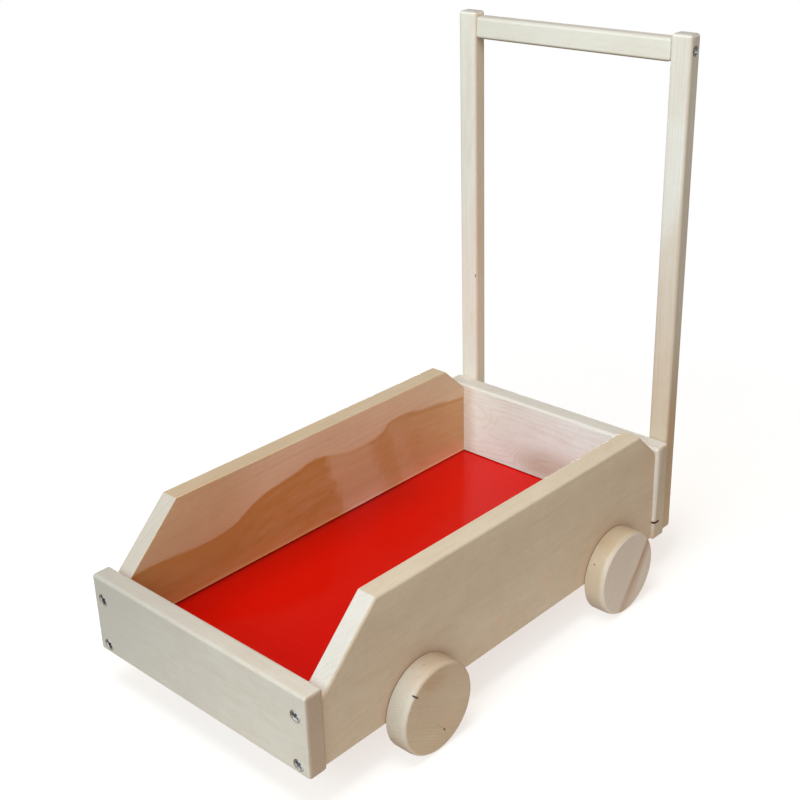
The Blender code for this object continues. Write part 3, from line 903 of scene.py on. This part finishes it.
def ease(corners, radius, steps=3):
    """Points round an outline, with an arc in place of each corner."""
    points = []
    for before, corner, after in zip(onward(corners, -1), corners, onward(corners)):
        arriving, leaving = (corner - before).normalized(), (after - corner).normalized()
        reach = radius * math.tan(arriving.angle(leaving) / 2)
        for i in range(steps + 1):
            share = i / steps
            first = corner - (1 - share) * reach * arriving
            second = corner + share * reach * leaving
            points.append(first.lerp(second, share))
    return points


def side_board(side):
    """Side board with eased corners and, but for its ends, rounded edges."""
    (x0, y0, z0), (x1, y1, z1) = BOX[f"side_panel_{side}"]
    slope_foot = high("front_panel").z - SLOPE_DROP
    chamfer_foot = high("rear_panel").z - CHAMFER_DROP
    outline = [
        (y0, z0), (y1, z0), (y1, chamfer_foot), (y1 - CHAMFER_RUN, z1), (y0 + SLOPE_RUN, z1),
        (y0, slope_foot),
    ]
    inner, outer = sorted((x0, x1), key=abs)
    rounds = [(inner, SIDE_INNER_EDGE, range(EDGE_STEPS + 1))]
    rounds += [(outer, SIDE_OUTER_EDGE[side], range(EDGE_STEPS, -1, -1))]
    bm = bmesh.new()
    layers = []
    for face, radius, steps in rounds:
        into = math.copysign(radius, inner + outer - 2 * face)
        for step in steps:
            angle = math.radians(90 * step / EDGE_STEPS)
            depth = radius * (1 - math.sin(angle))
            depths = [0 if start[0] == end[0] else depth
                      for start, end in zip(outline, onward(outline))]
            x = face + into * (1 - math.cos(angle))
            layers.append([
                bm.verts.new((x, *point)) for point in ease(inset(outline, depths), CORNER_EASE)])
    join(bm, layers)
    bm.faces.new(layers[0])
    bm.faces.new(layers[-1])
    return bm


def axle_cut(end, radius, reach):
    """Cutter for a round hole across the cart on an axle's line."""
    profile = [(0, -reach), (radius, -reach), (radius, reach), (0, reach)]
    return cutter(lathe(profile, ROUND_STEPS, placed(middle(f"{end}_axle"))))


def groove(node):
    """Cutters for the groove that holds the floor board in one of the four panels."""
    floor_low = low("floor_panel") - Vector((FIT_GAP,) * 3)
    floor_high = high("floor_panel") + Vector((FIT_GAP, FIT_GAP, FLOOR_PLAY))
    board_low, board_high = BOX[node]
    if node.startswith("side"):
        floor_low.y, floor_high.y = board_low.y - CUT_PAST, board_high.y + CUT_PAST
    shapes = [box(floor_low, floor_high)]
    if node == "rear_panel":
        slot_low, slot_high = floor_low.copy(), floor_high.copy()
        slot_low.x, slot_high.x = board_low.x - CUT_PAST, board_high.x + CUT_PAST
        slot_low.z = (floor_low.z + floor_high.z - REAR_SLOT) / 2
        slot_high.z = slot_low.z + REAR_SLOT
        shapes.append(box(slot_low, slot_high))
    return [cutter(shape) for shape in shapes]


def axle(node):
    half, radius, _ = extent(node) / 2
    tip, shoulder = radius - AXLE_CHAMFER, half - AXLE_CHAMFER
    profile = [(0, -half), (tip, -half), (radius, -shoulder), (radius, shoulder), (tip, half), (0, half)]
    return lathe(profile, ROUND_STEPS, placed(middle(node)))


def wheel(node, side, axle_radius):
    """Disc with rounded edges, and a blind socket for the axle in a shallow hub recess."""
    thick, _, height = extent(node)
    radius = height / 2
    socket = axle_radius + FIT_GAP
    hub = WASHER_RADIUS + HUB_PLAY
    profile = [(0, SOCKET_DEPTH), (socket, SOCKET_DEPTH), (socket, 0), (hub, 0)]
    profile += [(hub + HUB_DEPTH, -HUB_DEPTH)]
    shoulder, back = radius - WHEEL_EDGE, WHEEL_BACK_EDGE
    profile += arc((radius - back, back - HUB_DEPTH), back, back, -90, 0)
    profile += arc((shoulder, thick - WHEEL_CROWN), WHEEL_EDGE, WHEEL_CROWN, 0, 90, 2 * EDGE_STEPS)
    profile += [(0.5 * radius, thick), (0, thick)]
    seat = middle(node) - Vector((SIDES[side] * thick / 2, 0, 0))
    return lathe(profile, WHEEL_STEPS, placed(seat, side))


def wheel_check(node):
    """Cutter for the short drying crack at the rim of a right-hand wheel."""
    centre, face = middle(node), high(node).x
    outward = Vector((0, -math.cos(CHECK_ANGLE), math.sin(CHECK_ANGLE)))
    sideways = Vector((0, outward.z, -outward.y))
    rim = extent(node).z / 2
    corners = [
        outward * (rim - CHECK_LENGTH), outward * (rim + CUT_PAST) - sideways * CHECK_WIDTH / 2,
        outward * (rim + CUT_PAST) + sideways * CHECK_WIDTH / 2,
    ]
    bm = bmesh.new()
    base = bm.faces.new([
        bm.verts.new(Vector((face - CHECK_DEPTH, centre.y, centre.z)) + corner) for corner in corners])
    grown = bmesh.ops.extrude_face_region(bm, geom=[base])
    far = [item for item in grown["geom"] if isinstance(item, bmesh.types.BMVert)]
    bmesh.ops.translate(bm, verts=far, vec=(CHECK_DEPTH + CUT_PAST, 0, 0))
    return cutter(bm)


def washer(node, axle_radius):
    """Flat stamped ring with slightly rounded rims."""
    inner, outer, thick = axle_radius + BORE_CLEARANCE, WASHER_RADIUS, extent(node).x
    flat_start, flat_end, top = inner + WASHER_EASE, outer - WASHER_EASE, thick - WASHER_EASE
    profile = [
        (inner, WASHER_EASE), (flat_start, 0), (flat_end, 0), (outer, WASHER_EASE),
        (outer, top), (flat_end, thick), (flat_start, thick), (inner, top),
    ]
    seat = middle(node) - Vector((thick / 2, 0, 0))
    return lathe(profile, ROUND_STEPS, placed(seat), closed=True)


# Woods

# Pale and deep tones
MAPLE = ((0.765, 0.62, 0.455), (0.555, 0.385, 0.23))
GREY_MAPLE = ((0.825, 0.735, 0.625), (0.60, 0.445, 0.31))
WARM_MAPLE = ((0.71, 0.535, 0.36), (0.51, 0.325, 0.18))
PALE_MAPLE = ((0.86, 0.79, 0.685), (0.64, 0.49, 0.38))
HANDLE_MAPLE = ((0.81, 0.775, 0.67), (0.65, 0.52, 0.39))
BAR_MAPLE = ((0.81, 0.785, 0.675), (0.65, 0.53, 0.39))
WHEEL_WOOD = ((0.65, 0.497, 0.35), (0.45, 0.29, 0.164))
BEECH = ((0.68, 0.47, 0.30), (0.45, 0.26, 0.14))

BOARDS = {
    "side_panel_right": dict(
        name="maple_side_right", grain="Y", tones=MAPLE, pith=(38, 12), tilt=(1.2, 0.8), seed=40,
        ring=3.2, rings=0.12, streaks=0.16, mottle=0.45, ends=(0.79, 0.75, 0.71), extra=red_traces_and_painted_light),
    "side_panel_left": dict(
        name="maple_side_left", grain="Y", tones=WARM_MAPLE, pith=(46, -20), tilt=(1.0, -1.1), seed=900,
        ring=3.4, ends=(0.63, 0.59, 0.545), extra=heartwood_and_painted_light),
    "front_panel": dict(
        name="maple_front", grain="X", tones=GREY_MAPLE, pith=(-60, 15), tilt=(0.6, 1.0), seed=1700,
        rings=0.15, mottle=0.55, ends=(0.48, 0.33, 0.215), end_rings=0.8, extra=painted_shade_to_left),
    "rear_panel": dict(
        name="maple_rear", grain="X", tones=PALE_MAPLE, pith=(62, -14), tilt=(2.4, 1.2), seed=2650,
        ring=2.4, rings=0.38, mottle=0.45, bend=15, faint=0.5, ends=(0.555, 0.43, 0.285),
        extra=painted_light_inside,
        swells=(((0, 208, 79), (56, 60, 24), 14.0), ((-92, 208, 100), (40, 60, 22), 8.0))),
    "handle_crossbar": dict(
        name="maple_bar", grain="X", tones=BAR_MAPLE, pith=(30, 40), tilt=(0.5, 0.5), seed=3300,
        rings=0.12, extra=painted_shade_top_and_under),
    "handle_post_left": dict(
        name="maple_post_left", grain="Z", tones=HANDLE_MAPLE, pith=(60, 20), tilt=(0.4, 0.6), seed=4100,
        ring=2.2, rings=0.3, streaks=0.45, ends=(0.47, 0.41, 0.37), extra=painted_light_foot),
    "handle_post_right": dict(
        name="maple_post_right", grain="Z", tones=HANDLE_MAPLE, pith=(45, -35), tilt=(0.6, 0.4), seed=4900,
        ring=2.2, rings=0.45, streaks=0.6, ends=(0.47, 0.41, 0.37), extra=peach_foot_and_painted_light),
}

# Turn of the grain in degrees, colour across it, and marks with painted light and shade of each wheel
WHEELS = {
    "wheel_front_right": (30, (0.65, 0.55, 0.445), worn_wheel_and_painted_light),
    "wheel_front_left": (-35, (0.67, 0.565, 0.46), painted_rim_light),
    "wheel_rear_right": (-57, (0.66, 0.52, 0.375), streaked_wheel_and_painted_light),
    "wheel_rear_left": (100, (0.70, 0.58, 0.46), painted_rim_light),
}


def make_woods():
    """One material for each board and wheel, as each is cut from another place in a log."""
    woods = {node: wood(node, **board) for node, board in BOARDS.items()}
    woods["axle"] = wood("front_axle", "beech_rod", "X", BEECH, (30, 30), seed=5700, pores=0.5)
    woods["block"] = wood(
        "axle_block_front_left", "beech_block", "X", BEECH, (40, 10), seed=6500, pores=0.5)
    for number, (node, (turn, ends, extra)) in enumerate(WHEELS.items()):
        woods[node] = wood(
            node, node, "Y", WHEEL_WOOD, (12, 62 - 9 * number), (2.0, 1.5), turn, ring=2.3,
            seed=7300 + 800 * number, ends=ends, extra=extra)
    return woods


# The walker

def drive_screws(steel):
    """Show the screws, and return for each node the cutters of the holes that they need in it."""
    # Bar screws: painted shade over the head, but not in its recess
    bar_shaded_steel = zinc("zinc_shaded_head", [((0, 0, 0), (5.6, 5.6, 3.0), 0.8, 0.14)], (0.9, 0.92))
    # Front screws: painted shade on parts of each head and in its recess, one set for each side
    front_shaded_steel = {
        "right": zinc("zinc_shade_above", [
            ((-3.2, -0.2, 0), (3.4, 4.4, 3.0), 1.0, 0.10), ((4.2, -1.0, 0), (3.0, 4.4, 3.0), 0.7, 0.30),
            ((0, -4.5, 0), (4.5, 3.2, 3.0), 0.8, 0.40)], (0.9, 0.40)),
        "left": zinc("zinc_shade_below", [
            ((-3.6, -0.2, 0), (2.4, 3.4, 3.0), 1.0, 0.08), ((2.2, -0.6, 0), (3.6, 4.6, 3.0), 1.0, 0.08)],
            (0.93, 0.14)),
    }
    front_screw = Screw("front_screw", *FRONT_SCREW)
    post_screw = Screw("post_screw", *POST_SCREW)
    bar_screw = Screw("bar_screw", *BAR_SCREW)
    holes = {node: [] for node in BOX}

    def drive(screw, node, facing, roll, metal, *pierced):
        hole = screw.drive(node, facing, roll, metal)
        for board in pierced:
            holes[board].append(hole)

    roll = FIRST_ROLL
    for side in SIDES:
        board, post = f"side_panel_{side}", f"handle_post_{side}"
        for level in LEVELS:
            roll += LEVEL_STEP
            drive(front_screw, f"front_screw_{side}_{level}", "front", FRONT_ROLL[side, level],
                  front_shaded_steel[side], "front_panel", board)
            drive(post_screw, f"post_screw_{side}_{level}", "back", roll + POST_STEP, steel,
                  post, "rear_panel", board)
        drive(bar_screw, f"bar_screw_{side}", side, roll + BAR_STEP, bar_shaded_steel, post, "handle_crossbar")
        inward = "left" if side == "right" else "right"
        for end in ENDS:
            for number in (1, 2):
                roll += BLOCK_STEP
                drive(bar_screw, f"block_screw_{end}_{side}_{number}", inward, roll, steel,
                      f"axle_block_{end}_{side}", board)
    return holes


def build():
    # Bright zinc with painted shade in its driver recesses
    steel = zinc("bright_zinc", (), (0.9, 0.03))
    woods = make_woods()
    holes = drive_screws(steel)

    axle_radius = extent("front_axle").z / 2
    for end in ENDS:
        bore = axle_cut(end, axle_radius + BORE_CLEARANCE, BORE_REACH)
        notch = axle_cut(end, axle_radius + NOTCH_CLEARANCE, NOTCH_REACH)
        for side in SIDES:
            holes[f"side_panel_{side}"].append(notch)
            holes[f"axle_block_{end}_{side}"].append(bore)

    def show_board(node, shape, grooves=()):
        show(node, shape, woods[node], holes=[*holes[node], *grooves])

    for side in SIDES:
        node = f"side_panel_{side}"
        show_board(node, side_board(side), groove(node))
        node = f"handle_post_{side}"
        show_board(node, rounded_box(node, HANDLE_EDGE))
    for node, corner in (("front_panel", PANEL_EDGE), ("rear_panel", REAR_CORNER)):
        show_board(node, rounded_box(node, PANEL_EDGE, corner=corner), groove(node))
    node = "handle_crossbar"
    show_board(node, rounded_box(node, HANDLE_EDGE))
    node = "floor_panel"
    show(node, rounded_box(node, FLOOR_EDGE, FLOOR_STEPS), lacquer_red())

    for end in ENDS:
        body = f"{end}_wheel_set"
        node = f"{end}_axle"
        show(node, axle(node), woods["axle"], body)
        for side in SIDES:
            node = f"wheel_{end}_{side}"
            cuts = [wheel_check(node)] if node == "wheel_front_right" else []
            show(node, wheel(node, side, axle_radius), woods[node], body, cuts)
            node = f"axle_block_{end}_{side}"
            block = rounded_box(node, BLOCK_EDGE, BLOCK_STEPS)
            show(node, block, woods["block"], holes=holes[node])
            node = f"washer_{end}_{side}"
            show(node, washer(node, axle_radius), steel)
    for shape in spare_shapes:
        bpy.data.objects.remove(shape, do_unlink=True)


# Stage, light and camera

# Half the floor's width, and the distances at which it is gone and at which it is densest
FLOOR_REACH = 1.4
FLOOR_CLEAR = 0.62
FLOOR_DENSE = 0.18

# Distant lights: colour, strength, azimuth, elevation and width in degrees
SUNS = {
    "window": ((0.60, 0.86, 1.0), 1.70, 10, 35, 40),
    "fill": ((1.0, 0.95, 0.95), 0.42, 70, 8, 50),
    "back": ((0.90, 0.96, 1.0), 1.2, 222, -6, 12),
}

# The photo's camera, fitted to edges measured in it: degrees, metres and millimetres
CAMERA_AZIMUTH, CAMERA_ELEVATION, CAMERA_ROLL = 43.611, 24.579, -1.733
CAMERA_PLACE = (0.70826, -0.7436, 0.69065)
CAMERA_SENSOR, CAMERA_LENS = 36.0, 59.822


def make_floor():
    """Pale floor round the walker, which fades into the white of the backdrop."""
    bm = bmesh.new()
    corners = ((-1, -1), (1, -1), (1, 1), (-1, 1))
    bm.faces.new([bm.verts.new((x * FLOOR_REACH, y * FLOOR_REACH, 0)) for x, y in corners])
    floor = put_in_scene("studio_floor", to_mesh("studio_floor", bm))
    s = Surface("studio_floor")
    cloud = s.noise((300, 300, 300))
    colour = s.mix(cloud, (0.94, 0.92, 0.88), (0.95, 0.93, 0.89))
    s.finish(colour, 0.9, cloud, 0.0001, 0.0, Specular_IOR_Level=0.0,
             Emission_Color=(1, 0.85, 0.75), Emission_Strength=0.4)
    distance = s.vector("LENGTH", s.vector("MULTIPLY", s.here, (1.0, 0.75, 1.0)))
    clear, dense = MM * FLOOR_CLEAR, MM * FLOOR_DENSE
    s.feed(s.shader.inputs["Alpha"], s.ramp(distance, clear, dense, 0.0, 0.5))
    floor.data.materials.append(s.material)


def sky_direction(azimuth, elevation):
    azimuth, elevation = math.radians(azimuth), math.radians(elevation)
    return Vector((math.sin(azimuth) * math.cos(elevation),
                   -math.cos(azimuth) * math.cos(elevation), math.sin(elevation)))


def add_lamp(name, kind, colour, energy, place, towards):
    light = bpy.data.lights.new(name, kind)
    light.color = colour
    light.energy = energy
    lamp = put_in_scene(name, light)
    lamp.location = place
    lamp.rotation_euler = (Vector(place) - Vector(towards)).to_track_quat("Z", "Y").to_euler()
    lamp.visible_camera = False
    return light


def make_light():
    """A soft box over the front, a cool window, a weak fill, a low light behind and a warm room."""
    softbox = add_lamp("softbox", "AREA", (0.90, 0.94, 1.0), 9.9, (0.10, -0.40, 1.30), (0, 0.02, 0.12))
    softbox.size = 0.6
    for name, (colour, energy, azimuth, elevation, width) in SUNS.items():
        sun = add_lamp(name, "SUN", colour, energy, sky_direction(azimuth, elevation), (0, 0, 0))
        sun.angle = math.radians(width)

    world = bpy.data.worlds.new("studio")
    world.use_nodes = True
    bpy.context.scene.world = world
    nodes, links = world.node_tree.nodes, world.node_tree.links
    room, paper = nodes["Background"], nodes.new("ShaderNodeBackground")
    room.inputs["Color"].default_value = (1.0, 0.84, 0.66, 1)
    room.inputs["Strength"].default_value = 0.24
    paper.inputs["Color"].default_value = (1.0, 1.0, 1.0, 1)
    choice, ray = nodes.new("ShaderNodeMixShader"), nodes.new("ShaderNodeLightPath")
    sources = (ray.outputs["Is Camera Ray"], room.outputs[0], paper.outputs[0])
    for source, socket in zip(sources, choice.inputs):
        links.new(source, socket)
    links.new(choice.outputs[0], nodes["World Output"].inputs["Surface"])


def make_camera():
    back = sky_direction(CAMERA_AZIMUTH, CAMERA_ELEVATION)
    turn = back.to_track_quat("Z", "Y").to_matrix().to_4x4() @ rotation(CAMERA_ROLL, "Z")
    camera = bpy.data.cameras.new("photo")
    camera.sensor_width = CAMERA_SENSOR
    camera.lens = CAMERA_LENS
    camera.clip_start = 0.01
    camera.clip_end = 100.0
    holder = put_in_scene("photo", camera)
    holder.matrix_world = Matrix.Translation(CAMERA_PLACE) @ turn
    bpy.context.scene.camera = holder


build()
make_floor()
make_light()
make_camera()
bpy.context.scene.view_settings.view_transform = "Standard"
